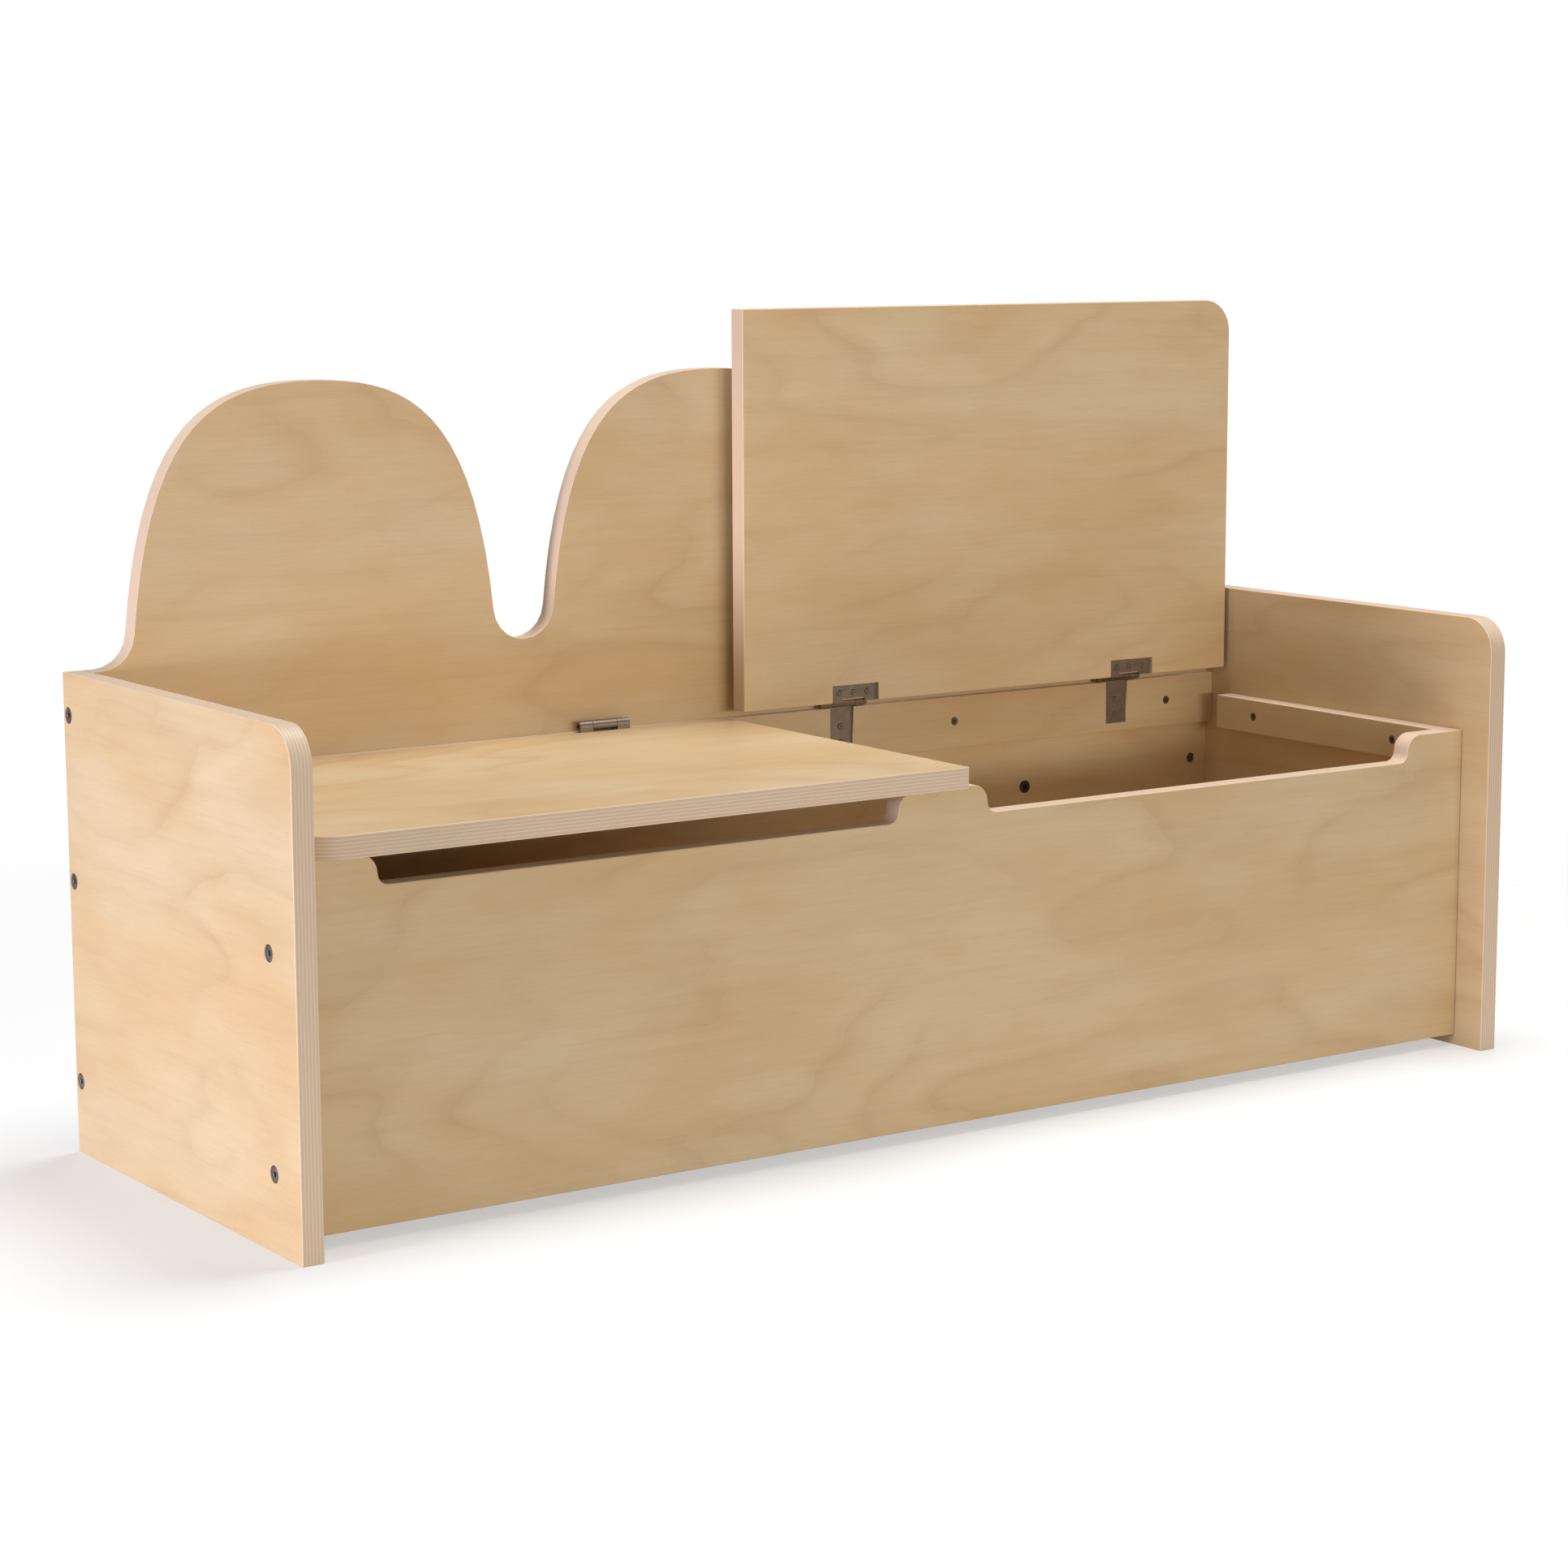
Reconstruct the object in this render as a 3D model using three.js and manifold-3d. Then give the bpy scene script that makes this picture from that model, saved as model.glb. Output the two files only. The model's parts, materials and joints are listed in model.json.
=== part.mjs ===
// Storage bench in birch plywood: a box seat with two hinged lids and a back cut in rounded humps.
// X runs along the seat, Y from front to back and Z up, in millimetres. The origin is on the floor,
// under the middle of the bench.
import * as THREE from "three";
import { mergeVertices } from "three/addons/utils/BufferGeometryUtils.js";
import Module from "manifold-3d";

const wasm = await Module();
wasm.setup();

// Carcass boards
const benchWidth = 1200;
const benchDepth = 400;
const sideHeight = 392;
const boardThickness = 18;
const sideCornerRadius = 30;
const panelClearance = 10; // floor to the lower edge of the front and back panels
const boardGap = 0.1; // left between boards that are fastened face to face

// Humps along the top of the back panel
const humpCount = 3;
const humpHeight = 225; // crown above the top of the sides
const humpShift = 7; // the row of humps stands this far right of the middle
const valleyRadius = 29.5;
const flankLean = THREE.MathUtils.degToRad(5.6);
const flankPull = 172; // how far the flank runs nearly straight
const crownPull = 86; // how flat the crown is

// Front panel and its two finger notches
const frontSetback = 33; // behind the front edges of the sides
const frontTop = 290;
const notchShoulder = 15; // radius at the top of a notch end
const notchFoot = 9; // radius at the bottom of a notch end
const notchFromMiddle = 30;
const notchFromSide = 52;

// Loose bottom on two battens
const bottomThickness = 12;
const battenSize = 18;
const bottomPlay = 0.5;

// Hinge rail along the back, and the cleats that carry the lids' outer ends
const railThickness = 9;
const railHeight = 48;
const cleatThickness = 18;
const cleatHeight = 32;
const cleatToRail = 27;

// Lids
const lidSideGap = 5;
const lidSplit = 16; // the joint between the lids is this far right of the middle
const lidSplitGap = 4;
const lidOverhang = 15.5; // past the front panel
const lidRestGap = 0.5; // over the front panel and cleats
const lidRearGap = 2.5; // to the rail, whose front face is under the hinge axis
const lidCornerRadius = 30;
const lidOpenAngle = THREE.MathUtils.degToRad(90);

// Hinges
const barrelRadius = 4.3;
const barrelLength = 50;
const pinRadius = 1.9;
const pinPlay = 0.2;
const knuckleGap = 0.4;
const barrelAboveLid = 0.2;
const railLeafWidth = 24;
const railLeafThickness = 1.8;
const railLeafDrop = 45; // below the hinge axis
const lidLeafThickness = 1.5;
const lidLeafReach = 15.5; // under the lid
const lidLeafNotch = 3; // cut out of the lid leaf for the rail leaf's knuckle
const lidLeafRecess = 6; // up into the lid
const leafPlay = 0.35; // round a leaf in its recess
const hingeFromInnerEnd = { left: 128.5, right: 121 }; // middle of a hinge to the lid's end at the split
const hingeFromOuterEnd = 116;
const leafHoleRadius = 1.9;
const leafHoleSpread = 15; // between neighbouring screw holes in a leaf

// Connector bolts through the sides, and the barrel nuts that they pull on
const boltHeadRadius = 6;
const boltHeadHeight = 5;
const boltRadius = 3;
const boltSocket = 4; // across the flats
const boltSocketDepth = 3;
const boltSunk = 0.5; // head below the face of the side
const boltPastNut = 7;
const boreRadius = 6.8; // round the head
const boltPlay = 0.4;
const nutRadius = 4.8;
const nutLength = 14;
const nutSunk = 1;
const nutPlay = 0.2;
const nutFromEnd = 19;
const nutSlotWidth = 1.4;
const nutSlotDepth = 1.2;
const boltLow = 60;
const boltUnderSeat = 66; // middle bolts, below the top of the front panel
const boltUnderTop = 34; // top bolts, below the top of the sides

// Countersunk screws
const screwHeadRadius = 4;
const screwRadius = 1.8;
const screwBite = 10; // into the second board
const screwTip = 5;
const screwSunk = 0.3;
const screwPlay = 0.15;
const crossWidth = 1.1;
const crossLength = 4.4;
const crossDepth = 1.6;
const railScrewsFromSide = [59, 315];
const railScrewHeight = 25; // above the lower edge of the rail
const cleatScrewFromEnd = 53;
const battenScrews = [-1, 0, 1];
const battenScrewSpacing = 400;

// Washers for wall screws, in the back panel
const washerRadius = 6;
const washerThickness = 1.2;
const sleeveRadius = 3.8;
const sleeveBore = 2.6;
const sleeveLength = 8;
const washerPlay = 0.2;
const washerFromSide = 225;
const washerUnderSeat = 76;

// Facets round a bolt, nut or washer, and round a screw
const roundSides = 16;
const screwSides = 10;

// Planes that several pieces share
const sideInner = benchWidth / 2 - boardThickness;
const backRear = benchDepth / 2;
const backFace = backRear - boardThickness;
const frontFace = -benchDepth / 2 + frontSetback;
const frontRear = frontFace + boardThickness;
const seatTop = frontTop + lidRestGap + boardThickness;
const bottomUnder = panelClearance + battenSize;
const railFront = backFace - railThickness;
const railTop = frontTop + boardThickness;
const hingeY = railFront;
const hingeZ = seatTop + barrelAboveLid + barrelRadius;
const lidTopFromAxis = seatTop - hingeZ;
const lidUnderFromAxis = lidTopFromAxis - boardThickness;
const recessFromAxis = lidUnderFromAxis + lidLeafRecess;
const lidRearFromAxis = -lidRearGap;
const lidEnds = {
  left: { outer: -sideInner + lidSideGap, inner: lidSplit - lidSplitGap / 2 },
  right: { outer: sideInner - lidSideGap, inner: lidSplit + lidSplitGap / 2 },
};
const sides = [
  { name: "left", sign: -1 },
  { name: "right", sign: 1 },
];

const finishes = {
  plywood: { color: 0xd9b98c, roughness: 0.55, metalness: 0 },
  steel: { color: 0x8f8b84, roughness: 0.4, metalness: 0.9 },
  zinc: { color: 0xb4b1aa, roughness: 0.35, metalness: 0.9 },
  dark: { color: 0x2b2724, roughness: 0.6, metalness: 0 },
};

const bench = new THREE.Group();

function piece(name, geometry, finish) {
  const mesh = new THREE.Mesh(geometry, new THREE.MeshStandardMaterial(finishes[finish]));
  mesh.name = name;
  return mesh;
}

// A closed geometry as a solid that can be cut and joined
function solidOf(geometry) {
  const bare = geometry.clone();
  bare.deleteAttribute("normal");
  bare.deleteAttribute("uv");
  const merged = mergeVertices(bare);
  const index = merged.index.array;
  const corners = [];
  for (let i = 0; i < index.length; i += 3) {
    const [a, b, c] = [index[i], index[i + 1], index[i + 2]];
    if (a !== b && b !== c && c !== a) corners.push(a, b, c);
  }
  return new wasm.Manifold(new wasm.Mesh({
    numProp: 3,
    vertProperties: merged.attributes.position.array,
    triVerts: Uint32Array.from(corners),
  }));
}

function geometryOf(solid) {
  const mesh = solid.getMesh();
  const geometry = new THREE.BufferGeometry();
  geometry.setAttribute("position", new THREE.BufferAttribute(mesh.vertProperties, 3));
  geometry.setIndex(new THREE.BufferAttribute(mesh.triVerts, 1));
  geometry.computeVertexNormals();
  return geometry;
}

function cut(geometry, tools) {
  return geometryOf(tools.reduce((solid, tool) => solid.subtract(solidOf(tool)), solidOf(geometry)));
}

// Cuts holes, given in the bench's own frame, into a board that is already in its place
function drill(board, holes) {
  board.updateMatrix();
  const toBoard = board.matrix.clone().invert();
  board.geometry = cut(board.geometry, holes.map((hole) => hole.clone().applyMatrix4(toBoard)));
}

function block(name, xs, ys, zs, finish) {
  const mesh = piece(name, box(xs, ys, zs), finish);
  mesh.geometry.center();
  mesh.position.set((xs[0] + xs[1]) / 2, (ys[0] + ys[1]) / 2, (zs[0] + zs[1]) / 2);
  return mesh;
}

function box(xs, ys, zs) {
  const geometry = new THREE.BoxGeometry(xs[1] - xs[0], ys[1] - ys[0], zs[1] - zs[0]);
  return geometry.translate((xs[0] + xs[1]) / 2, (ys[0] + ys[1]) / 2, (zs[0] + zs[1]) / 2);
}

function extrude(shape, depth, curveSegments = 4) {
  return new THREE.ExtrudeGeometry(shape, { depth, curveSegments, bevelEnabled: false });
}

// A turned solid on the Z axis, from [radius, z] pairs
function turned(profile, segments) {
  const lathe = new THREE.LatheGeometry(profile.map(([r, z]) => new THREE.Vector2(r, z)), segments);
  return geometryOf(solidOf(lathe.rotateX(Math.PI / 2)));
}

// A rod along X between two ends, at one Y and Z
function rodX(radius, xs, y, z, segments) {
  const rod = new THREE.CylinderGeometry(radius, radius, xs[1] - xs[0], segments);
  return rod.rotateZ(Math.PI / 2).translate((xs[0] + xs[1]) / 2, y, z);
}

// A fastener's place: its own +Z axis points from its head into the wood
function place(x, y, z, direction) {
  const turn = new THREE.Quaternion().setFromUnitVectors(new THREE.Vector3(0, 0, 1), direction);
  return new THREE.Matrix4().compose(new THREE.Vector3(x, y, z), turn, new THREE.Vector3(1, 1, 1));
}

function put(mesh, matrix) {
  matrix.decompose(mesh.position, mesh.quaternion, mesh.scale);
  bench.add(mesh);
  return mesh;
}

// Boards are drawn flat and extruded by their thickness, then stood in place. An end board's outline
// is drawn in Y and Z, and a long board's in X and Z.
function endBoard(name, outline, x) {
  const mesh = piece(name, extrude(outline, boardThickness), "plywood");
  mesh.rotation.set(Math.PI / 2, Math.PI / 2, 0);
  mesh.position.x = x;
  bench.add(mesh);
  return mesh;
}

function longBoard(name, outline, thickness, rear) {
  const mesh = piece(name, extrude(outline, thickness), "plywood");
  mesh.rotation.x = Math.PI / 2;
  mesh.position.y = rear;
  bench.add(mesh);
  return mesh;
}

function sideOutline() {
  const shape = new THREE.Shape();
  const [front, rear] = [-benchDepth / 2, benchDepth / 2];
  const radius = sideCornerRadius;
  shape.moveTo(front, 0);
  shape.lineTo(rear, 0);
  shape.lineTo(rear, sideHeight);
  shape.absarc(front + radius, sideHeight - radius, radius, Math.PI / 2, Math.PI, false);
  return shape;
}

// Half a hump, from the bottom of a valley up to the crown: a valley arc, then one Bezier curve
function halfHump(pitch) {
  const centre = new THREE.Vector2(pitch / 2, valleyRadius);
  const end = -Math.PI + flankLean;
  const valley = new THREE.EllipseCurve(
    centre.x, centre.y, valleyRadius, valleyRadius, -Math.PI / 2, end, true);
  const foot = valley.getPoint(1);
  const flank = new THREE.CubicBezierCurve(
    foot,
    new THREE.Vector2(foot.x - flankPull * Math.sin(flankLean), foot.y + flankPull * Math.cos(flankLean)),
    new THREE.Vector2(crownPull, humpHeight),
    new THREE.Vector2(0, humpHeight));
  return [...valley.getPoints(5), ...flank.getPoints(18).slice(1)];
}

function backOutline() {
  const half = sideInner - boardGap;
  const pitch = (2 * half) / humpCount;
  const rising = halfHump(pitch);
  const falling = rising.map((p) => new THREE.Vector2(-p.x, p.y)).reverse().slice(1);
  const points = [new THREE.Vector2(-half, panelClearance), new THREE.Vector2(half, panelClearance)];
  for (let hump = 0; hump < humpCount; hump += 1) {
    const crown = half + humpShift - pitch * (hump + 0.5);
    const outline = [...rising, ...falling].slice(hump === 0 ? 0 : 1);
    points.push(...outline.map((p) => new THREE.Vector2(Math.min(crown + p.x, half), sideHeight + p.y)));
  }
  points.push(new THREE.Vector2(-half, sideHeight));
  return new THREE.Shape(points);
}

// A notch from x = from on the right to x = to on the left, with rounded shoulders and feet
function cutNotch(shape, from, to) {
  const level = frontTop - notchShoulder;
  const step = notchShoulder + notchFoot;
  shape.absarc(from, level, notchShoulder, Math.PI / 2, Math.PI, false);
  shape.absarc(from - step, level, notchFoot, 0, -Math.PI / 2, true);
  shape.absarc(to + step, level, notchFoot, -Math.PI / 2, -Math.PI, true);
  shape.absarc(to, level, notchShoulder, 0, Math.PI / 2, false);
}

function frontOutline() {
  const half = sideInner - boardGap;
  const notchEnd = sideInner - notchFromSide;
  const shape = new THREE.Shape();
  shape.moveTo(-half, panelClearance);
  shape.lineTo(half, panelClearance);
  shape.lineTo(half, frontTop);
  cutNotch(shape, notchEnd, notchFromMiddle);
  cutNotch(shape, -notchFromMiddle, -notchEnd);
  shape.lineTo(-half, frontTop);
  return shape;
}

function railOutline() {
  const half = sideInner - boardGap;
  const shape = new THREE.Shape();
  shape.moveTo(-half, railTop - railHeight);
  shape.lineTo(half, railTop - railHeight);
  shape.lineTo(half, railTop);
  shape.lineTo(-half, railTop);
  return shape;
}

// The recess for a hinge's rail leaf, open at the top
function slotTool(x) {
  const half = railLeafWidth / 2 + leafPlay;
  const over = 1;
  return box([x - half, x + half], [railFront - over, railFront + barrelRadius + boardGap],
    [hingeZ - railLeafDrop - leafPlay, railTop + over]);
}

// Connector bolt: a sunk cylinder head with a hexagon socket, and a plain shank
function boltGeometry(length) {
  const edge = 0.6;
  const under = boltSunk + boltHeadHeight;
  const body = turned([
    [0, length], [boltRadius - edge, length], [boltRadius, length - edge], [boltRadius, under],
    [boltHeadRadius, under], [boltHeadRadius, boltSunk + edge], [boltHeadRadius - edge, boltSunk],
    [0, boltSunk],
  ].reverse(), roundSides);
  const socket = new THREE.CylinderGeometry(
    boltSocket / Math.sqrt(3), boltSocket / Math.sqrt(3), 2 * boltSocketDepth, 6);
  return cut(body, [socket.rotateX(Math.PI / 2).translate(0, 0, boltSunk)]);
}

function boltHole(length) {
  const over = 1;
  const step = boltSunk + boltHeadHeight + boardGap;
  const radius = boltRadius + boltPlay;
  return turned([
    [0, -over], [boreRadius, -over], [boreRadius, step], [radius, step], [radius, length + over],
    [0, length + over],
  ], roundSides);
}

// Barrel nut: its own Z axis lies across the bolt, and its bolt hole is at mid-thickness of the board
function nutGeometry() {
  const barrel = turned(
    [[0, nutSunk], [nutRadius, nutSunk], [nutRadius, nutSunk + nutLength], [0, nutSunk + nutLength]],
    roundSides);
  const hole = rodX(boltRadius + boltPlay / 2, [-2 * nutRadius, 2 * nutRadius], 0, boardThickness / 2,
    roundSides);
  const slot = box([-nutRadius, nutRadius].map((x) => 2 * x), [-nutSlotWidth / 2, nutSlotWidth / 2],
    [0, nutSunk + nutSlotDepth]);
  return cut(barrel, [hole, slot]);
}

function nutHole() {
  const [radius, bottom] = [nutRadius + nutPlay, nutSunk + nutLength + nutPlay];
  return turned([[0, -1], [radius, -1], [radius, bottom], [0, bottom]], roundSides);
}

// Countersunk screw, or with play, the hole that it needs
function screwBody(length, play) {
  const [head, shank] = [screwHeadRadius + play, screwRadius + play];
  const top = play > 0 ? -1 : screwSunk;
  const cone = screwSunk + head - shank;
  return turned([
    [0, top], [head, top], [head, screwSunk], [shank, cone + play], [shank, length - screwTip],
    [0, length + play],
  ], screwSides);
}

function screwGeometry(length) {
  const half = crossLength / 2;
  const arm = [-crossWidth / 2, crossWidth / 2];
  const depth = [0, screwSunk + crossDepth];
  return cut(screwBody(length, 0), [box([-half, half], arm, depth), box(arm, [-half, half], depth)]);
}

function washerGeometry() {
  return turned([
    [sleeveBore, -washerThickness], [washerRadius - 0.4, -washerThickness], [washerRadius, -0.7],
    [washerRadius, -boardGap], [sleeveRadius, -boardGap], [sleeveRadius, sleeveLength],
    [sleeveBore, sleeveLength], [sleeveBore, -washerThickness],
  ], roundSides);
}

// A leaf's knuckle in Y and Z round the hinge axis, with its plate running down from the barrel
// between two Y values
function knuckleShape(plateFront, plateRear, bottom) {
  const shape = new THREE.Shape();
  const angleAt = (y) => -Math.acos(y / barrelRadius);
  shape.moveTo(plateRear, bottom);
  shape.lineTo(plateFront, bottom);
  shape.absarc(0, 0, barrelRadius, angleAt(plateFront), angleAt(plateRear), true);
  shape.holes.push(new THREE.Path().absarc(0, 0, pinRadius + pinPlay, 0, 2 * Math.PI, false));
  return shape;
}

// Extrudes a shape drawn in Y and Z along X
function extrudeX(shape, xs) {
  return extrude(shape, xs[1] - xs[0], 8).applyMatrix4(
    new THREE.Matrix4().makeRotationFromEuler(new THREE.Euler(Math.PI / 2, Math.PI / 2, 0)),
  ).translate(xs[0], 0, 0);
}

function leafHole() {
  return new THREE.CylinderGeometry(leafHoleRadius, leafHoleRadius, 4 * barrelRadius, screwSides);
}

function railLeafGeometry() {
  const plate = knuckleShape(barrelRadius - railLeafThickness, barrelRadius, -railLeafDrop);
  const leaf = extrudeX(plate, [-railLeafWidth / 2, railLeafWidth / 2]);
  const holes = [0, 1].map((row) => (
    leafHole().translate(0, 0, leafHoleSpread / 2 - railLeafDrop + row * leafHoleSpread)
  ));
  return cut(leaf, holes);
}

// The lid leaf hangs from its knuckles behind the lid's rear edge and turns under into the lid's
// recess. It is notched between the knuckles, where the rail leaf's knuckle turns.
function lidLeafGeometry() {
  const rear = lidRearFromAxis;
  const front = rear - lidLeafThickness;
  const under = recessFromAxis - leafPlay;
  const inner = railLeafWidth / 2 + knuckleGap;
  const rings = [[-barrelLength / 2, -inner], [inner, barrelLength / 2]]
    .map((xs) => solidOf(extrudeX(knuckleShape(front, rear, under - lidLeafThickness), xs)));
  const flange = solidOf(box([-barrelLength / 2, barrelLength / 2], [rear - lidLeafReach, rear],
    [under - lidLeafThickness, under]));
  const over = 1;
  const notch = box([-inner, inner], [rear - lidLeafNotch, rear + over],
    [under - lidLeafThickness - over, 0]);
  const leaf = geometryOf(rings[0].add(rings[1]).add(flange));
  const y = rear - (lidLeafReach + lidLeafThickness) / 2;
  const holes = [-1, 0, 1].map((column) => (
    leafHole().rotateX(Math.PI / 2).translate(column * leafHoleSpread, y, under)
  ));
  return cut(leaf, [notch, ...holes]);
}

// Lids are drawn from the hinge axis, so that turning their group opens them
function lidGeometry(ends, hingeXs) {
  const rear = lidRearFromAxis;
  const front = frontFace - lidOverhang - hingeY;
  const radius = lidCornerRadius;
  const toInner = Math.sign(ends.inner - ends.outer);
  const shape = new THREE.Shape();
  const centre = ends.outer + toInner * radius;
  shape.moveTo(ends.inner, rear);
  shape.lineTo(ends.outer, rear);
  const outerSide = toInner > 0 ? Math.PI : 0;
  const frontSide = toInner > 0 ? 1.5 * Math.PI : -Math.PI / 2;
  shape.absarc(centre, front + radius, radius, outerSide, frontSide, toInner < 0);
  shape.lineTo(ends.inner, front);
  const board = extrude(shape, boardThickness).translate(0, 0, lidUnderFromAxis);
  const over = 1;
  const recesses = hingeXs.flatMap((x) => {
    const xs = [x - barrelLength / 2 - leafPlay, x + barrelLength / 2 + leafPlay];
    const bottom = lidUnderFromAxis - over;
    return [
      box(xs, [rear - lidLeafReach - leafPlay, rear + over], [bottom, recessFromAxis]),
      box(xs, [rear - lidLeafThickness - leafPlay, rear + over], [bottom, lidTopFromAxis + over]),
    ];
  });
  return cut(board, recesses);
}

function hingesOf(side) {
  const ends = lidEnds[side];
  const toInner = Math.sign(ends.inner - ends.outer);
  return {
    outer: ends.outer + toInner * hingeFromOuterEnd,
    inner: ends.inner - toInner * hingeFromInnerEnd[side],
  };
}

// A lid with its leaves turns about the hinge axis, and the rail leaves and pins stay on the bench
function addLid(side, openAngle) {
  const hinges = hingesOf(side);
  const lid = new THREE.Group();
  lid.position.set(0, hingeY, hingeZ);
  lid.rotation.x = -openAngle;
  lid.add(piece(`lid_${side}`, lidGeometry(lidEnds[side], Object.values(hinges)), "plywood"));
  for (const [which, x] of Object.entries(hinges)) {
    const name = `hinge_${side}_${which}`;
    const lidLeaf = piece(`${name}_lid_leaf`, lidLeafGeometry(), "steel");
    lidLeaf.position.x = x;
    lid.add(lidLeaf);
    const railLeaf = piece(`${name}_rail_leaf`, railLeafGeometry(), "steel");
    railLeaf.position.set(x, hingeY, hingeZ);
    const barrel = [-barrelLength / 2, barrelLength / 2];
    const pin = piece(`${name}_pin`, rodX(pinRadius, barrel, 0, 0, roundSides), "dark");
    pin.position.set(x, hingeY, hingeZ);
    bench.add(railLeaf, pin);
  }
  bench.add(lid);
}

const backPanel = longBoard("back_panel", backOutline(), boardThickness, backRear);
const frontPanel = longBoard("front_panel", frontOutline(), boardThickness, frontRear);
const hingeRail = longBoard("hinge_rail", railOutline(), railThickness - boardGap, backFace - boardGap);

drill(hingeRail, Object.keys(lidEnds).flatMap((side) => Object.values(hingesOf(side))).map(slotTool));

const insideX = [-sideInner + bottomPlay, sideInner - bottomPlay];
bench.add(block("bottom_panel", insideX, [frontRear + bottomPlay, backFace - bottomPlay],
  [bottomUnder, bottomUnder + bottomThickness], "plywood"));

const back = new THREE.Vector3(0, 1, 0);
const forward = new THREE.Vector3(0, -1, 0);

// Drives a screw at a point, through a first board into a second, and cuts its hole in both
function addScrew(name, x, y, z, direction, through, boards) {
  const matrix = place(x, y, z, direction);
  const length = through + screwBite;
  put(piece(name, screwGeometry(length), "zinc"), matrix);
  for (const board of boards) drill(board, [screwBody(length, screwPlay).applyMatrix4(matrix)]);
}

const battens = [
  { end: "front", panel: frontPanel, near: frontRear + boardGap, into: forward },
  { end: "back", panel: backPanel, near: backFace - boardGap, into: back },
];
for (const { end, panel, near, into } of battens) {
  const far = near - into.y * battenSize;
  const batten = block(`batten_${end}`, insideX, [Math.min(near, far), Math.max(near, far)],
    [panelClearance, bottomUnder - boardGap], "plywood");
  bench.add(batten);
  battenScrews.forEach((step, i) => {
    const z = panelClearance + battenSize / 2;
    addScrew(`batten_screw_${end}_${i + 1}`, step * battenScrewSpacing, far, z, into, battenSize,
      [batten, panel]);
  });
}

for (const { name, sign } of sides) {
  const inward = new THREE.Vector3(-sign, 0, 0);
  const outward = new THREE.Vector3(sign, 0, 0);
  const panel = endBoard(`side_panel_${name}`, sideOutline(), sign > 0 ? sideInner : -benchWidth / 2);

  const cleatYs = [frontRear + boardGap, railFront - cleatToRail];
  const cleatXs = [sideInner - boardGap - cleatThickness, sideInner - boardGap].map((x) => sign * x);
  const cleat = block(`end_cleat_${name}`, cleatXs.sort((a, b) => a - b), cleatYs,
    [frontTop - cleatHeight, frontTop], "plywood");
  bench.add(cleat);
  const cleatScrews = { front: cleatYs[0] + cleatScrewFromEnd, back: cleatYs[1] - cleatScrewFromEnd };
  for (const [end, y] of Object.entries(cleatScrews)) {
    addScrew(`cleat_screw_${name}_${end}`, sign * (sideInner - boardGap - cleatThickness), y,
      frontTop - cleatHeight / 2, outward, cleatThickness, [cleat, panel]);
  }

  railScrewsFromSide.forEach((fromSide, i) => {
    addScrew(`rail_screw_${name}_${["outer", "inner"][i]}`, sign * (sideInner - fromSide), railFront,
      railTop - railHeight + railScrewHeight, back, railThickness, [hingeRail, backPanel]);
  });

  const boltLength = boardThickness + nutFromEnd + boltPastNut;
  const rows = [
    { board: backPanel, at: "back", y: backFace + boardThickness / 2, inner: backFace, into: back,
      heights: { top: sideHeight - boltUnderTop, middle: frontTop - boltUnderSeat, bottom: boltLow } },
    { board: frontPanel, at: "front", y: frontFace + boardThickness / 2, inner: frontRear, into: forward,
      heights: { middle: frontTop - boltUnderSeat, bottom: boltLow } },
  ];
  for (const { board, at, y, inner, into, heights } of rows) {
    for (const [level, z] of Object.entries(heights)) {
      const boltPlace = place(sign * benchWidth / 2, y, z, inward);
      const nutPlace = place(sign * (sideInner - nutFromEnd), inner, z, into);
      put(piece(`bolt_${name}_${at}_${level}`, boltGeometry(boltLength), "steel"), boltPlace);
      put(piece(`barrel_nut_${name}_${at}_${level}`, nutGeometry(), "zinc"), nutPlace);
      const hole = boltHole(boltLength).applyMatrix4(boltPlace);
      drill(panel, [hole]);
      drill(board, [hole, nutHole().applyMatrix4(nutPlace)]);
    }
  }

  const washerPlace = place(sign * (sideInner - washerFromSide), backFace, frontTop - washerUnderSeat, back);
  put(piece(`wall_washer_${name}`, washerGeometry(), "dark"), washerPlace);
  const wallHole = new THREE.CylinderGeometry(
    sleeveRadius + washerPlay, sleeveRadius + washerPlay, 4 * boardThickness, roundSides);
  drill(backPanel, [wallHole.rotateX(Math.PI / 2).applyMatrix4(washerPlace)]);
}

addLid("left", 0);
addLid("right", lidOpenAngle);

export default bench;
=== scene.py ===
import json
import math

import bmesh
import bpy
import numpy as np
from mathutils import Matrix, Vector


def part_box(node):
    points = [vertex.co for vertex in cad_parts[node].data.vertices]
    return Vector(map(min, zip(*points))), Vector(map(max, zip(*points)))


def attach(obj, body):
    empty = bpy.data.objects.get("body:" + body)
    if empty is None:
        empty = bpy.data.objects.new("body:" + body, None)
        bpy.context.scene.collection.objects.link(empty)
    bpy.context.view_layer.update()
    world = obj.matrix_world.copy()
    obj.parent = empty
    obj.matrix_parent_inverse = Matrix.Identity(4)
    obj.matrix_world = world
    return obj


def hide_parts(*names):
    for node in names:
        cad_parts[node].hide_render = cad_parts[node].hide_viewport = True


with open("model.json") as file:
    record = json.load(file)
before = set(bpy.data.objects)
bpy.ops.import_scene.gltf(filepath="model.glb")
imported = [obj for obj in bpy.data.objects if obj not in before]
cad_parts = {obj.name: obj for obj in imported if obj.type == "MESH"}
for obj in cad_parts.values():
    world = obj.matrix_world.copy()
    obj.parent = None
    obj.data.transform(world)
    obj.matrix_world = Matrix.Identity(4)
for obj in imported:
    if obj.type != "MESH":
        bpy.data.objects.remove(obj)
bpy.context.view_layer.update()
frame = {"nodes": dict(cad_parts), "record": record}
nodes = frame["nodes"]
bodyOf = {node: body for body, members in frame["record"]["behaviour"]["bodies"].items() for node in members}
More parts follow.
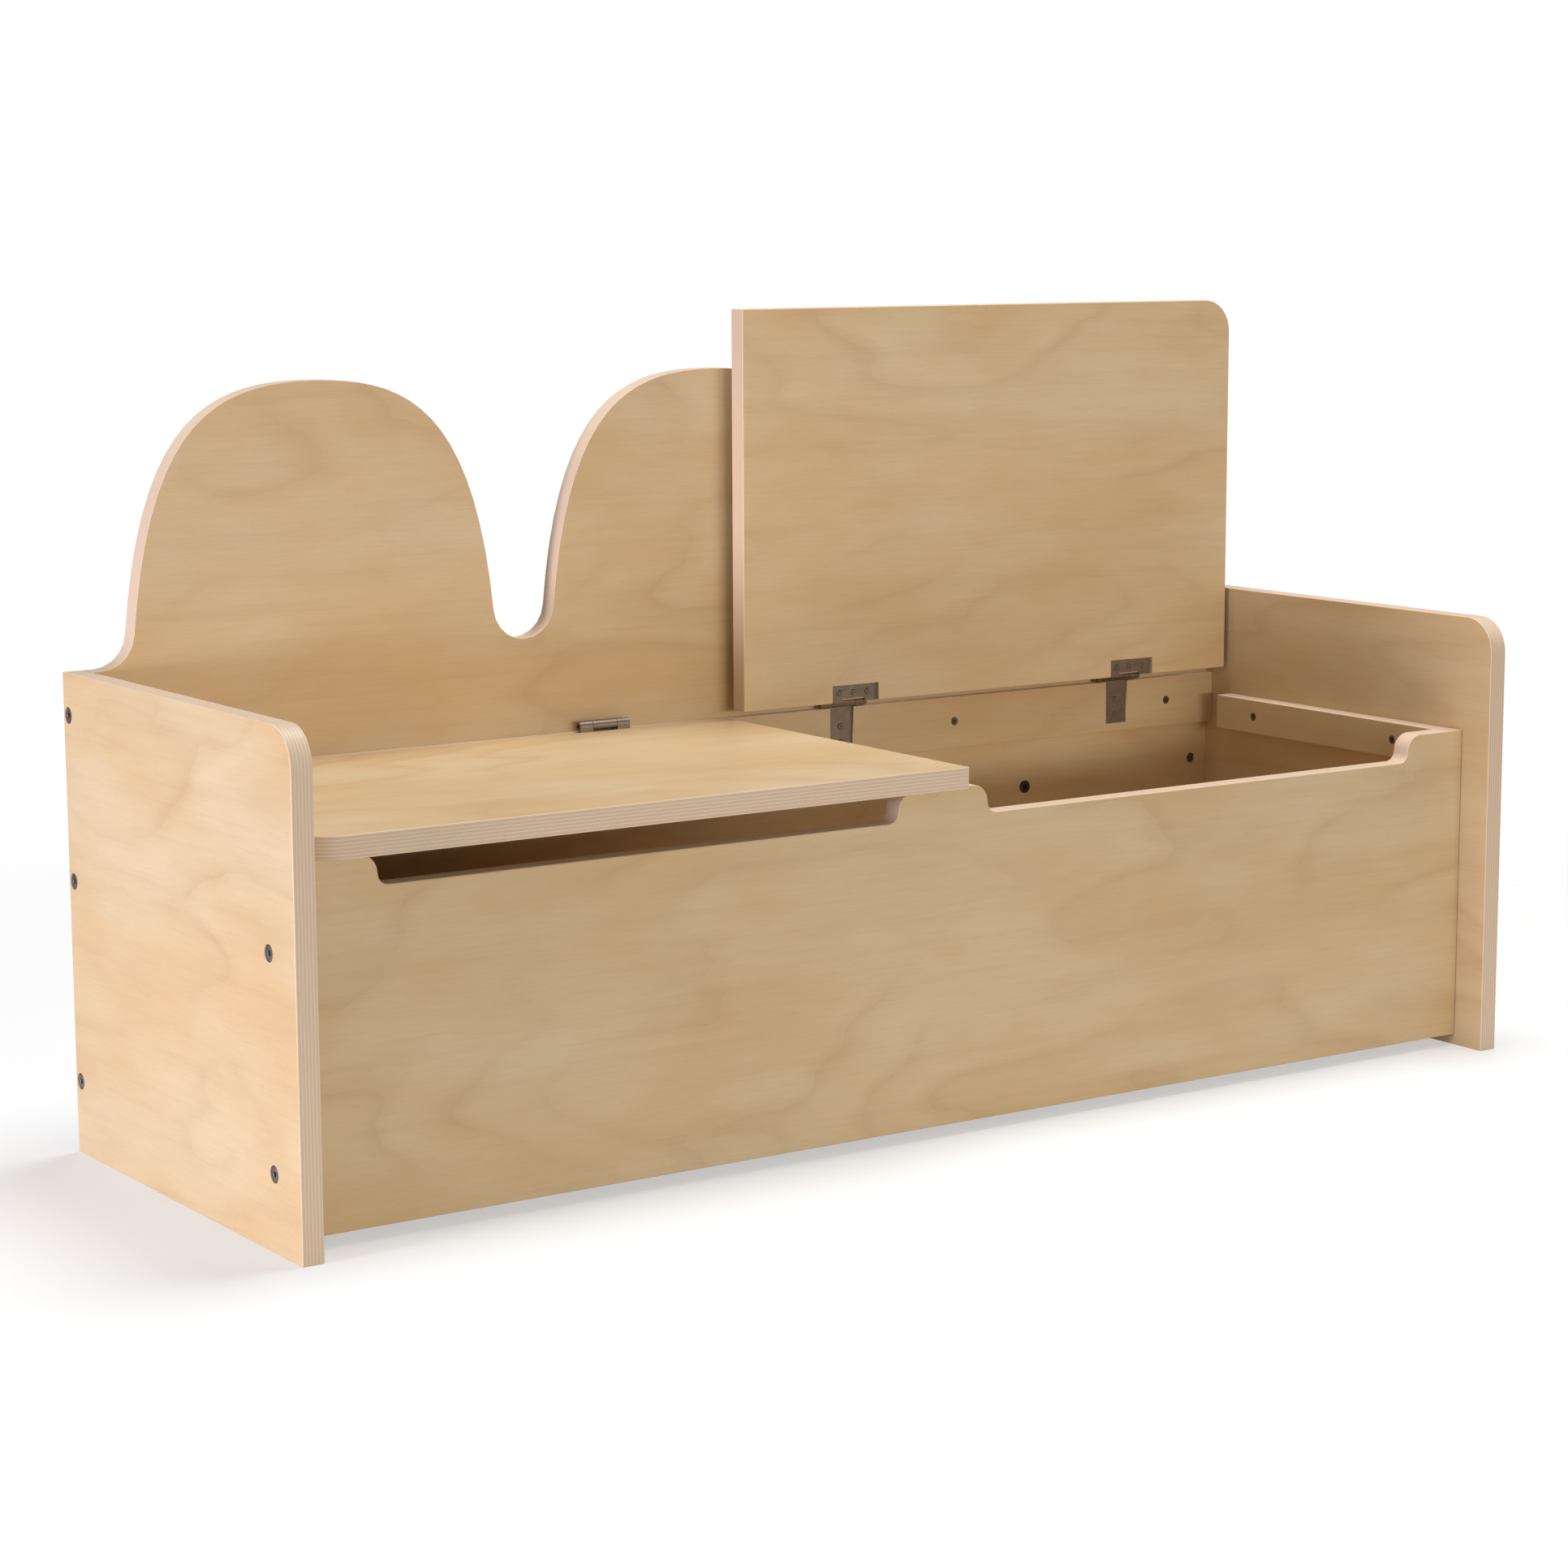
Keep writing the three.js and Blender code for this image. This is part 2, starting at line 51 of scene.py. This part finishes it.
slotOf = {part["node"]: part["material_slot"] for part in frame["record"]["subparts"]}
print("frame loaded,", len(nodes), "nodes")


# Camera and studio

camera = {
    "place": (-1.7127, -2.4505, 0.7418),
    "yaw": 0.5982,  # from straight along +Y towards +X
    "pitch": 0.1557,  # below the horizon
    "roll": -0.0036,
    "lens": 81.97,
}

studio = {
    "floorRadius": 1.8,
    "floorSides": 96,
    "floorFade": (0.75, 1.7),  # the floor melts into the white between these distances
    "floorColour": (0.97, 0.97, 0.97),
    "floorAlpha": 0.55,
    "skyColour": (1.0, 1.0, 1.0),
    "skyLight": 0.25,  # what the sky lights with
    "skySeen": 1.0,  # how bright the sky looks
    "lights": {
        "left": {"place": (-3.15, -0.32, 0.32), "aim": (-0.6, 0.0, 0.2), "size": (0.6, 0.6), "power": 77,
                 "tint": (1.0, 0.98, 1.11)},
        "top": {"place": (0.6, 0.15, 3.4), "aim": (0.1, 0.0, 0.2), "size": (1.6, 1.6), "power": 100,
                "tint": (1.0, 1.0, 1.0)},
        "front": {"place": (0.3, -4.4, 0.7), "aim": (0.1, 0.0, 0.3), "size": (3.0, 0.5), "power": 68,
                  "tint": (1.05, 1.0, 0.89)},
    },
}


def makeCamera(settings):
    yaw, pitch, roll = settings["yaw"], settings["pitch"], settings["roll"]
    forward = Vector((math.sin(yaw) * math.cos(pitch), math.cos(yaw) * math.cos(pitch), -math.sin(pitch)))
    level = Vector((math.cos(yaw), -math.sin(yaw), 0))
    upright = level.cross(forward)
    right = math.cos(roll) * level + math.sin(roll) * upright
    up = math.cos(roll) * upright - math.sin(roll) * level
    data = bpy.data.cameras.new("camera")
    data.lens = settings["lens"]
    data.sensor_width = 36
    data.clip_end = 100
    made = bpy.data.objects.new("camera", data)
    turned = Matrix((right, up, -forward)).transposed().to_4x4()
    made.matrix_world = Matrix.Translation(settings["place"]) @ turned
    bpy.context.scene.collection.objects.link(made)
    bpy.context.scene.camera = made


def makeLight(name, settings):
    data = bpy.data.lights.new(name, "AREA")
    data.shape = "ELLIPSE"
    data.size, data.size_y = settings["size"]
    data.color = settings["tint"]
    data.energy = settings["power"]
    made = bpy.data.objects.new(name, data)
    made.location = settings["place"]
    towards = Vector(settings["aim"]) - Vector(settings["place"])
    made.rotation_mode = "QUATERNION"
    made.rotation_quaternion = towards.to_track_quat("-Z", "Y")
    bpy.context.scene.collection.objects.link(made)


def makeSky(settings):
    world = bpy.data.worlds.new("studio")
    bpy.context.scene.world = world
    world.use_nodes = True
    tree = world.node_tree
    tree.nodes.clear()
    light = tree.nodes.new("ShaderNodeBackground")
    light.inputs["Color"].default_value = (*settings["skyColour"], 1)
    light.inputs["Strength"].default_value = settings["skyLight"]
    seen = tree.nodes.new("ShaderNodeBackground")
    seen.inputs["Color"].default_value = (1, 1, 1, 1)
    seen.inputs["Strength"].default_value = settings["skySeen"]
    path = tree.nodes.new("ShaderNodeLightPath")
    mix = tree.nodes.new("ShaderNodeMixShader")
    out = tree.nodes.new("ShaderNodeOutputWorld")
    tree.links.new(path.outputs["Is Camera Ray"], mix.inputs["Fac"])
    tree.links.new(light.outputs["Background"], mix.inputs[1])
    tree.links.new(seen.outputs["Background"], mix.inputs[2])
    tree.links.new(mix.outputs["Shader"], out.inputs["Surface"])


# Shader maths: a socket that Python's operators work on

class Sock:
    def __init__(self, tree, socket):
        self.tree = tree
        self.socket = socket

    def maths(self, operation, first, second=None):
        values = {i: v for i, v in enumerate((first, second)) if v is not None}
        return self.tree.add("ShaderNodeMath", {"operation": operation}, values)["Value"]

    def __add__(self, other):
        return self.maths("ADD", self, other)

    def __radd__(self, other):
        return self.maths("ADD", other, self)

    def __sub__(self, other):
        return self.maths("SUBTRACT", self, other)

    def __rsub__(self, other):
        return self.maths("SUBTRACT", other, self)

    def __mul__(self, other):
        return self.maths("MULTIPLY", self, other)

    def __rmul__(self, other):
        return self.maths("MULTIPLY", other, self)

    def __abs__(self):
        return self.maths("ABSOLUTE", self)

    def root(self):
        return self.maths("SQRT", self)

    def fraction(self):
        return self.maths("FRACT", self)

    def over(self, level):
        return self.maths("GREATER_THAN", self, level)

    def pingPong(self, scale):
        return self.maths("PINGPONG", self, scale)

    def ramp(self, low, high, first=0.0, last=1.0):  # smooth step from first at low to last at high
        values = {"Value": self, "From Min": low, "From Max": high, "To Min": first, "To Max": last}
        return self.tree.add("ShaderNodeMapRange", {"interpolation_type": "SMOOTHSTEP"}, values)["Result"]


class Finish:
    def __init__(self, name):
        self.material = bpy.data.materials.new(name)
        self.material.use_nodes = True
        self.tree = self.material.node_tree
        self.tree.nodes.clear()

    def add(self, kind, settings=None, values=None):
        node = self.tree.nodes.new(kind)
        for key, value in (settings or {}).items():
            setattr(node, key, value)
        for key, value in (values or {}).items():
            if isinstance(value, Sock):
                self.tree.links.new(value.socket, node.inputs[key])
            else:
                node.inputs[key].default_value = value
        return {output.name: Sock(self, output) for output in node.outputs if output.enabled}

    def mix(self, factor, first, second):
        values = {0: factor, 6: first, 7: second}
        node = self.tree.nodes.new("ShaderNodeMix")
        node.data_type = "RGBA"
        for key, value in values.items():
            if isinstance(value, Sock):
                self.tree.links.new(value.socket, node.inputs[key])
            else:
                node.inputs[key].default_value = value
        return Sock(self, node.outputs[2])

    def noise(self, vector, detail=2.0, rough=0.5):
        values = {"Vector": vector, "Scale": 1.0, "Detail": detail, "Roughness": rough}
        return self.add("ShaderNodeTexNoise", {}, values)["Fac"]

    def point(self, x, y, z):
        return self.add("ShaderNodeCombineXYZ", {}, {"X": x, "Y": y, "Z": z})["Vector"]

    def place(self):  # object coordinates and the object-space normal, as X, Y, Z sockets
        texture = self.add("ShaderNodeTexCoord")
        at = self.add("ShaderNodeSeparateXYZ", {}, {"Vector": texture["Object"]})
        facing = self.add("ShaderNodeSeparateXYZ", {}, {"Vector": texture["Normal"]})
        return [at[k] for k in "XYZ"], [facing[k] for k in "XYZ"]

    def bump(self, height, strength, distance):
        values = {"Strength": strength, "Distance": distance, "Height": height}
        return self.add("ShaderNodeBump", {}, values)["Normal"]

    def surface(self, constants, links):
        shader = self.add("ShaderNodeBsdfPrincipled", {}, {**constants, **links})["BSDF"]
        self.add("ShaderNodeOutputMaterial", {}, {"Surface": shader})
        return self.material


def colour(red, green, blue):  # from 0 to 255 screen values to linear ones
    def linear(value):
        value = value / 255
        return value / 12.92 if value <= 0.04045 else ((value + 0.055) / 1.055) ** 2.4
    return (linear(red), linear(green), linear(blue), 1.0)


# Birch plywood. The figure runs with the grain on the faces, and the plies show on every edge.

birch = {
    "light": colour(210, 187, 151),
    "warm": colour(205, 173, 128),
    "deep": colour(174, 137, 94),
    "fleck": colour(154, 117, 83),
    "edgeLight": colour(221, 197, 172),
    "edgeDark": colour(203, 176, 150),
    "glue": colour(150, 120, 97),
    "plies": 13,
    "rings": 12.0,  # growth rings in the height of the figure
    "ringWobble": 0.05,
    "lineStrength": 0.34,
    "streakStrength": 0.14,
    "fibreStrength": 0.13,
    "poreStrength": 0.18,
    "glueStrength": 0.3,
    "noises": {  # how often each repeats along and across the grain, and where in the noise it starts
        "wobble": {"along": 13.0, "across": 32.0, "start": 0.0, "detail": 2.0, "rough": 0.5},
        "hills": {"along": 1.5, "across": 4.6, "start": 0.0, "detail": 2.0, "rough": 0.42},
        "figured": {"along": 3.1, "across": 5.3, "start": 3.0, "detail": 2.0, "rough": 0.5},
        "cloud": {"along": 4.2, "across": 9.0, "start": 5.0, "detail": 3.0, "rough": 0.55},
        "streak": {"along": 3.5, "across": 75.0, "start": 7.0, "detail": 3.0, "rough": 0.6},
        "fibre": {"along": 24.0, "across": 420.0, "start": 0.0, "detail": 4.0, "rough": 0.65},
        "pores": {"along": 95.0, "across": 1500.0, "start": 0.0, "detail": 1.0, "rough": 0.4},
    },
}


def toned(shade, tone):
    return tuple(tone * value for value in shade[:3]) + (1.0,)


def birchFinish(name, grain, thickness, low, high, seed, tone, settings=birch):
    finish = Finish(name)
    light, warm, deep, fleck = [toned(settings[key], tone) for key in ("light", "warm", "deep", "fleck")]
    at, facing = finish.place()
    across = 3 - grain - thickness
    along = at[grain] + seed * 3.7
    side = at[across] + seed * 1.9
    layer = {}
    for key, noise in settings["noises"].items():
        point = finish.point(along * noise["along"], side * noise["across"], seed + noise["start"])
        layer[key] = finish.noise(point, noise["detail"], noise["rough"])
    # growth rings where the peeling knife crossed them: contour lines of a stretched noise, with a
    # fainter band that fades away on one side of each
    rings = (layer["hills"] + layer["wobble"] * settings["ringWobble"]) * settings["rings"]
    thin = rings.pingPong(0.5).ramp(0.0, 0.26, 1.0, 0.0)
    band = rings.fraction().ramp(0.0, 0.8, 1.0, 0.0)
    figured = layer["figured"].ramp(0.36, 0.62) * 0.85 + 0.15
    line = (thin * 0.5 + band * 0.4) * figured
    fibre = layer["fibre"]
    pores = layer["pores"].ramp(0.66, 0.76)
    face = finish.mix(layer["cloud"].ramp(0.30, 0.70), light, warm)
    face = finish.mix(line * settings["lineStrength"], face, deep)
    face = finish.mix(layer["streak"].ramp(0.45, 0.75) * settings["streakStrength"], face, deep)
    face = finish.mix(fibre.ramp(0.40, 0.75) * settings["fibreStrength"], face, deep)
    face = finish.mix(pores * settings["poreStrength"], face, fleck)
    # plies: 13 layers through the thickness, every other one cut across its grain
    wander = finish.noise(finish.point(*[a * 14.0 for a in at]), 1.0) * 0.16
    depth = (at[thickness] - low) * (settings["plies"] / (high - low)) + wander - 0.08
    crossGrain = (depth * 0.5).fraction().over(0.5)
    glueLine = depth.pingPong(0.5).ramp(0.02, 0.13, 1.0, 0.0)
    mottle = finish.noise(finish.point(*[a * 420.0 for a in at]))
    edge = finish.mix(crossGrain * (mottle * 0.5 + 0.35), settings["edgeLight"], settings["edgeDark"])
    edge = finish.mix(glueLine * settings["glueStrength"], edge, settings["glue"])
    isFace = abs(facing[thickness]).ramp(0.62, 0.82)
    base = finish.mix(isFace, edge, face)
    sheen = fibre * 0.12 + 0.42
    rough = sheen * isFace + (mottle * 0.15 + 0.54) * (1 - isFace)
    relief = (fibre * 0.5 - pores * 0.6) * isFace + (glueLine * -0.8 + mottle * 0.4) * (1 - isFace)
    bump = finish.bump(relief, 0.25, 0.0002)
    constants = {"Coat Weight": 0.12, "Coat Roughness": 0.3, "Specular IOR Level": 0.4}
    return finish.surface(constants, {"Base Color": base, "Roughness": rough, "Normal": bump})


# Metals and plastic

def metalFinish(name, settings):
    finish = Finish(name)
    at, facing = finish.place()
    stretch = [90.0, 90.0, 90.0]
    stretch[settings["brushed"]] = 6.0
    drawn = finish.noise(finish.point(*[a * (s * 12.0) for a, s in zip(at, stretch)]), 3.0, 0.6)
    cloud = finish.noise(finish.point(*[a * 160.0 for a in at]), 3.0, 0.6)
    base = finish.mix(drawn * 0.55 + cloud * 0.45, settings["dark"], settings["light"])
    rough = drawn * 0.16 + cloud * 0.14 + settings["rough"]
    bump = finish.bump(drawn, 0.15, 0.0001)
    return finish.surface({"Metallic": 1.0}, {"Base Color": base, "Roughness": rough, "Normal": bump})


metals = {  # brushed is the axis it was drawn along, as 0, 1, 2 for X, Y, Z
    "hinge_steel": {
        "dark": colour(112, 100, 88),
        "light": colour(166, 154, 142),
        "rough": 0.28,
        "brushed": 0,
    },
    "pin_steel": {
        "dark": colour(30, 26, 24),
        "light": colour(62, 56, 52),
        "rough": 0.36,
        "brushed": 0,
    },
    "bolt_steel": {
        "dark": colour(112, 106, 100),
        "light": colour(168, 162, 154),
        "rough": 0.28,
        "brushed": 1,
    },
    "zinc_steel": {
        "dark": colour(84, 80, 75),
        "light": colour(132, 128, 121),
        "rough": 0.3,
        "brushed": 2,
    },
}


def plasticFinish(name):
    finish = Finish(name)
    at, facing = finish.place()
    grain = finish.noise(finish.point(*[a * 900.0 for a in at]))
    base = finish.mix(grain, colour(34, 29, 26), colour(60, 52, 46))
    bump = finish.bump(grain, 0.2, 0.0001)
    return finish.surface({}, {"Base Color": base, "Roughness": grain * 0.2 + 0.45, "Normal": bump})


# Meshes

turnedSmoothAngle = 35
metalSmoothAngle = 32


def addPiece(name, mesh, material, body, slot):
    mesh.materials.clear()
    mesh.materials.append(material)
    piece = bpy.data.objects.new(name, mesh)
    bpy.context.scene.collection.objects.link(piece)
    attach(piece, body)
    return piece


def mergedCopy(node):  # a bmesh of the node with its doubles merged and its flat faces joined
    source = nodes[node].data
    points = np.empty(len(source.vertices) * 3)
    source.vertices.foreach_get("co", points)
    loops = np.empty(len(source.loops), int)
    source.loops.foreach_get("vertex_index", loops)
    mesh = bpy.data.meshes.new(node + "_fine")
    mesh.from_pydata(points.reshape(-1, 3), [], loops.reshape(-1, 3))
    made = bmesh.new()
    made.from_mesh(mesh)
    bmesh.ops.remove_doubles(made, verts=made.verts, dist=1e-5)
    bmesh.ops.dissolve_limit(made, angle_limit=math.radians(0.4), verts=made.verts, edges=made.edges)
    return made, mesh


def finishCopy(made, mesh, smoothAngle):
    for face in made.faces:
        face.smooth = True
    for edge in made.edges:
        edge.smooth = edge.calc_face_angle(math.pi) < math.radians(smoothAngle)
    made.to_mesh(mesh)
    made.free()
    return mesh


def rims(made, thickness, level):  # the closed runs of sharp edges in one face of a board
    sharp = math.radians(40)
    inFace = [edge for edge in made.edges if all(abs(v.co[thickness] - level) < 1e-5 for v in edge.verts)]
    edges = {edge for edge in inFace if edge.calc_face_angle(0) > sharp}
    while edges:
        run, front = set(), [edges.pop()]
        while front:
            edge = front.pop()
            run.add(edge)
            near = {e for v in edge.verts for e in v.link_edges if e in edges}
            edges -= near
            front.extend(near)
        yield run


def runSize(run):
    points = np.array([v.co for edge in run for v in edge.verts])
    return np.linalg.norm(points.max(0) - points.min(0))


# Boards: a merged copy of the CAD board with its outer arrises rounded over

boards = {
    "arris": 0.0009,
    "steps": 3,
    "smallHole": 0.03,  # rims smaller than this stay crisp
    "smoothAngle": 26,
    "tones": {"lid_right": 1.1},  # lid_right's colours are multiplied by 1.1, so it comes out paler than the rest
    "pieces": {  # grain axis and thickness axis, as 0, 1, 2 for X, Y, Z
        "side_panel_left": (1, 0), "side_panel_right": (1, 0),
        "back_panel": (0, 1), "front_panel": (0, 1), "hinge_rail": (0, 1),
        "bottom_panel": (0, 2), "batten_front": (0, 1), "batten_back": (0, 1),
        "end_cleat_left": (1, 0), "end_cleat_right": (1, 0),
        "lid_left": (0, 2), "lid_right": (0, 1),
    },
}


def makeBoard(node, grain, thickness, seed):
    low, high = [corner[thickness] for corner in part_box(node)]
    made, mesh = mergedCopy(node)
    weights = made.edges.layers.float.new("bevel_weight_edge")
    for level in (low, high):
        for run in rims(made, thickness, level):
            if runSize(run) > boards["smallHole"]:
                for edge in run:
                    edge[weights] = 1.0
    for edge in made.edges:  # upright corners that run the whole thickness
        ends = sorted(v.co[thickness] for v in edge.verts)
        if abs(ends[0] - low) < 1e-5 and abs(ends[1] - high) < 1e-5 and edge.calc_face_angle(0) > 1.0:
            edge[weights] = 1.0
    finishCopy(made, mesh, boards["smoothAngle"])
    tone = boards["tones"].get(node, 1.0)
    material = birchFinish("birch_" + node, grain, thickness, low, high, seed, tone)
    piece = addPiece(node + "_board", mesh, material, bodyOf[node], slotOf[node])
    bevel = piece.modifiers.new("arris", "BEVEL")
    bevel.limit_method = "WEIGHT"
    bevel.width = boards["arris"]
    bevel.segments = boards["steps"]
    bevel.harden_normals = True
    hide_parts(node)


# Fasteners: a stack of rings about an axis. A ring is round, or has the outline of a hexagon or a
# cross, so a socket is part of the same surface.
# Point = place + size * outline(angle) * radial + height * axis

crossArm = 0.26  # half the width of a cross's arm, as a share of its length

def outlineRound(angle):
    return np.ones_like(angle)


def outlineHexagon(angle):  # distance to the flats, one at the unit distance
    third = math.pi / 3
    return 1 / np.cos((angle + third / 2) % third - third / 2)


def bar(angle, half, width):  # distance to the edge of a bar of half length and half width
    with np.errstate(divide="ignore"):
        return np.minimum(half / np.abs(np.cos(angle)), width / np.abs(np.sin(angle)))


def outlineCross(angle):
    return np.maximum(bar(angle, 1.0, crossArm), bar(angle + math.pi / 2, 1.0, crossArm))


def ringStack(name, rings, place, axis, steps=48):
    place, axis = Vector(place), Vector(axis)
    first = axis.orthogonal().normalized()
    second = axis.cross(first)
    basis = np.array([first, second, axis])
    angle = (np.arange(steps) + 0.5) * (2 * math.pi / steps)
    sizes = np.array([size for outline, size, height in rings])
    heights = np.array([height for outline, size, height in rings])
    radii = np.array([outline(angle) for outline, size, height in rings]) * sizes[:, None]
    levels = np.broadcast_to(heights[:, None], radii.shape)
    grid = np.stack([radii * np.cos(angle), radii * np.sin(angle), levels], axis=-1)
    points = grid.reshape(-1, 3) @ basis + np.array(place)
    count = len(rings)
    row = np.arange(count - 1)[:, None]
    column = np.arange(steps)[None, :]
    after, right = row + 1, (column + 1) % steps
    corners = [(row, column), (row, right), (after, right), (after, column)]
    quads = np.stack([ring * steps + step for ring, step in corners], -1)
    faces = quads.reshape(-1, 4).tolist()
    faces.append(list(range(steps))[::-1])
    faces.append([(count - 1) * steps + i for i in range(steps)])
    mesh = bpy.data.meshes.new(name)
    mesh.from_pydata(points, [], faces)
    made = bmesh.new()
    made.from_mesh(mesh)
    bmesh.ops.recalc_face_normals(made, faces=made.faces)
    return finishCopy(made, mesh, turnedSmoothAngle)


fine = 0.0001  # a softened rim, and the blunt end of a screw
crossFoot = 0.6  # the floor of a cross, as a share of its mouth

bolt = {
    "head": 0.006,
    "edge": 0.0005,
    "headHeight": 0.005,
    "shank": 0.003,
    "socket": 0.002,
    "socketDepth": 0.003,
}

screw = {
    "head": 0.004,
    "shank": 0.0018,
    "crossHalf": 0.0021,
    "crossDepth": 0.0015,
    "tip": 0.005,
}

panScrew = {
    "head": 0.0029,
    "rise": 0.0015,
    "dome": (48, 60, 72, 82, 90),  # degrees from the crown, one ring at each
    "shank": 0.0016,
    "length": 0.009,
    "tip": 0.003,
    "crossHalf": 0.0013,
    "crossDepth": 0.0006,
}


def boltRings(length, s=bolt):
    return [
        (outlineHexagon, s["socket"] * 0.92, s["socketDepth"]),
        (outlineHexagon, s["socket"], s["socketDepth"]),
        (outlineHexagon, s["socket"], fine),
        (outlineHexagon, s["socket"] + fine, 0.0),
        (outlineRound, s["head"] - s["edge"], 0.0),
        (outlineRound, s["head"] - s["edge"] * 0.3, s["edge"] * 0.3),
        (outlineRound, s["head"], s["edge"]),
        (outlineRound, s["head"], s["headHeight"]),
        (outlineRound, s["shank"], s["headHeight"]),
        (outlineRound, s["shank"], length - s["edge"]),
        (outlineRound, s["shank"] - s["edge"], length),
    ]


def screwRings(length, s=screw):
    return [
        (outlineCross, s["crossHalf"] * crossFoot, s["crossDepth"]),
        (outlineCross, s["crossHalf"], 0.0),
        (outlineRound, s["head"] - fine, 0.0),
        (outlineRound, s["head"], fine),
        (outlineRound, s["shank"], s["head"] - s["shank"]),
        (outlineRound, s["shank"], length - s["tip"]),
        (outlineRound, fine, length),
    ]


def panRings(s=panScrew):
    angles = np.radians(s["dome"])
    dome = [(outlineRound, s["head"] * math.sin(a), -s["rise"] * math.cos(a)) for a in angles]
    top = dome[0][2]
    return [
        (outlineCross, s["crossHalf"] * crossFoot, top + s["crossDepth"]),
        (outlineCross, s["crossHalf"], top),
        *dome,
        (outlineRound, s["head"], 0.0),
        (outlineRound, s["shank"], 0.0),
        (outlineRound, s["shank"], s["length"] - s["tip"]),
        (outlineRound, fine, s["length"]),
    ]


def fastenerPlace(node):  # the middle of its head, its direction and its length
    low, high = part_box(node)
    middle, size = (low + high) / 2, high - low
    run = max(range(3), key=lambda i: size[i])
    inward = {"bolt_left": 1, "bolt_right": -1, "cleat_screw_left": -1, "cleat_screw_right": 1,
              "batten_screw_front": -1}
    sign = next((way for start, way in inward.items() if node.startswith(start)), 1)
    axis = Vector([sign if i == run else 0 for i in range(3)])
    place = middle - axis * size[run] / 2
    return place, axis, size[run]


def makeFasteners(materials):
    for node in nodes:
        if node.startswith("bolt_") or "_screw_" in node:
            place, axis, length = fastenerPlace(node)
            rings = boltRings(length) if node.startswith("bolt_") else screwRings(length)
            mesh = ringStack(node + "_turned", rings, place, axis)
            piece = addPiece(node + "_turned", mesh, materials[slotOf[node]], bodyOf[node], slotOf[node])
            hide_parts(node)


# Hinges, barrel nuts and washers: merged copies, shaded smooth

def makeSmoothCopies(materials):
    for node in nodes:
        if node.startswith(("hinge_left", "hinge_right", "barrel_nut", "wall_washer")):
            made, mesh = mergedCopy(node)
            finishCopy(made, mesh, metalSmoothAngle)
            piece = addPiece(node + "_smooth", mesh, materials[slotOf[node]], bodyOf[node], slotOf[node])
            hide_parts(node)


leaf = {
    "plate": 0.0018,
    "firstHole": 0.0075,  # from the foot of the rail leaf
    "holeStep": 0.015,
    "reach": 0.0155,
    "thickness": 0.0015,
    "steps": 32,
}


def makeLeafScrews(material):
    def addScrew(node, number, place, axis):
        mesh = ringStack(f"{node}_pan_{number}", panRings(), place, axis, leaf["steps"])
        addPiece(mesh.name, mesh, material, bodyOf[node], slotOf[node])

    for node in nodes:
        if node.endswith("_rail_leaf"):
            low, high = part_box(node)
            x = (low.x + high.x) / 2
            for row in range(2):
                z = low.z + leaf["firstHole"] + row * leaf["holeStep"]
                addScrew(node, row + 1, (x, high.y - leaf["plate"], z), (0, 1, 0))
        if node.endswith("_lid_leaf"):
            low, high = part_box(node)
            inset = (leaf["reach"] - leaf["thickness"]) / 2
            for column in range(3):
                x = (low.x + high.x) / 2 + (column - 1) * leaf["holeStep"]
                if bodyOf[node] == "lid_left":  # the flange is level, under the closed lid
                    addScrew(node, column + 1, (x, low.y + inset, low.z), (0, 0, 1))
                else:  # the flange is upright, in front of the open lid
                    addScrew(node, column + 1, (x, low.y, high.z - inset), (0, 1, 0))


def makeFloor(settings):
    angle = np.linspace(0, 2 * math.pi, settings["floorSides"], endpoint=False)
    points = settings["floorRadius"] * np.stack([np.cos(angle), np.sin(angle), 0 * angle], axis=-1)
    mesh = bpy.data.meshes.new("floor")
    mesh.from_pydata(points, [], [range(settings["floorSides"])])
    finish = Finish("floor")
    at, facing = finish.place()
    cloud = finish.noise(finish.point(*[a * 1.5 for a in at]))
    pale = (*settings["floorColour"], 1.0)
    base = finish.mix(cloud, pale, tuple(0.985 * c for c in pale[:3]) + (1.0,))
    distance = (at[0] * at[0] + at[1] * at[1]).root()
    alpha = distance.ramp(*settings["floorFade"], settings["floorAlpha"], 0.0)
    mesh.materials.append(finish.surface({"Roughness": 0.8}, {"Base Color": base, "Alpha": alpha}))
    floor = bpy.data.objects.new("floor", mesh)
    bpy.context.scene.collection.objects.link(floor)


makeCamera(camera)
for lightName, lightSettings in studio["lights"].items():
    makeLight(lightName, lightSettings)
makeSky(studio)
makeFloor(studio)
bpy.context.scene.view_settings.view_transform = "Standard"
print("studio made")

for seed, (node, (grain, thickness)) in enumerate(boards["pieces"].items()):
    makeBoard(node, grain, thickness, seed)
print("boards made")

materials = {slot: metalFinish(slot, settings) for slot, settings in metals.items()}
materials["dark_fitting"] = plasticFinish("dark_fitting")
makeFasteners(materials)
makeSmoothCopies(materials)
makeLeafScrews(materials["hinge_steel"])
print("metal made")
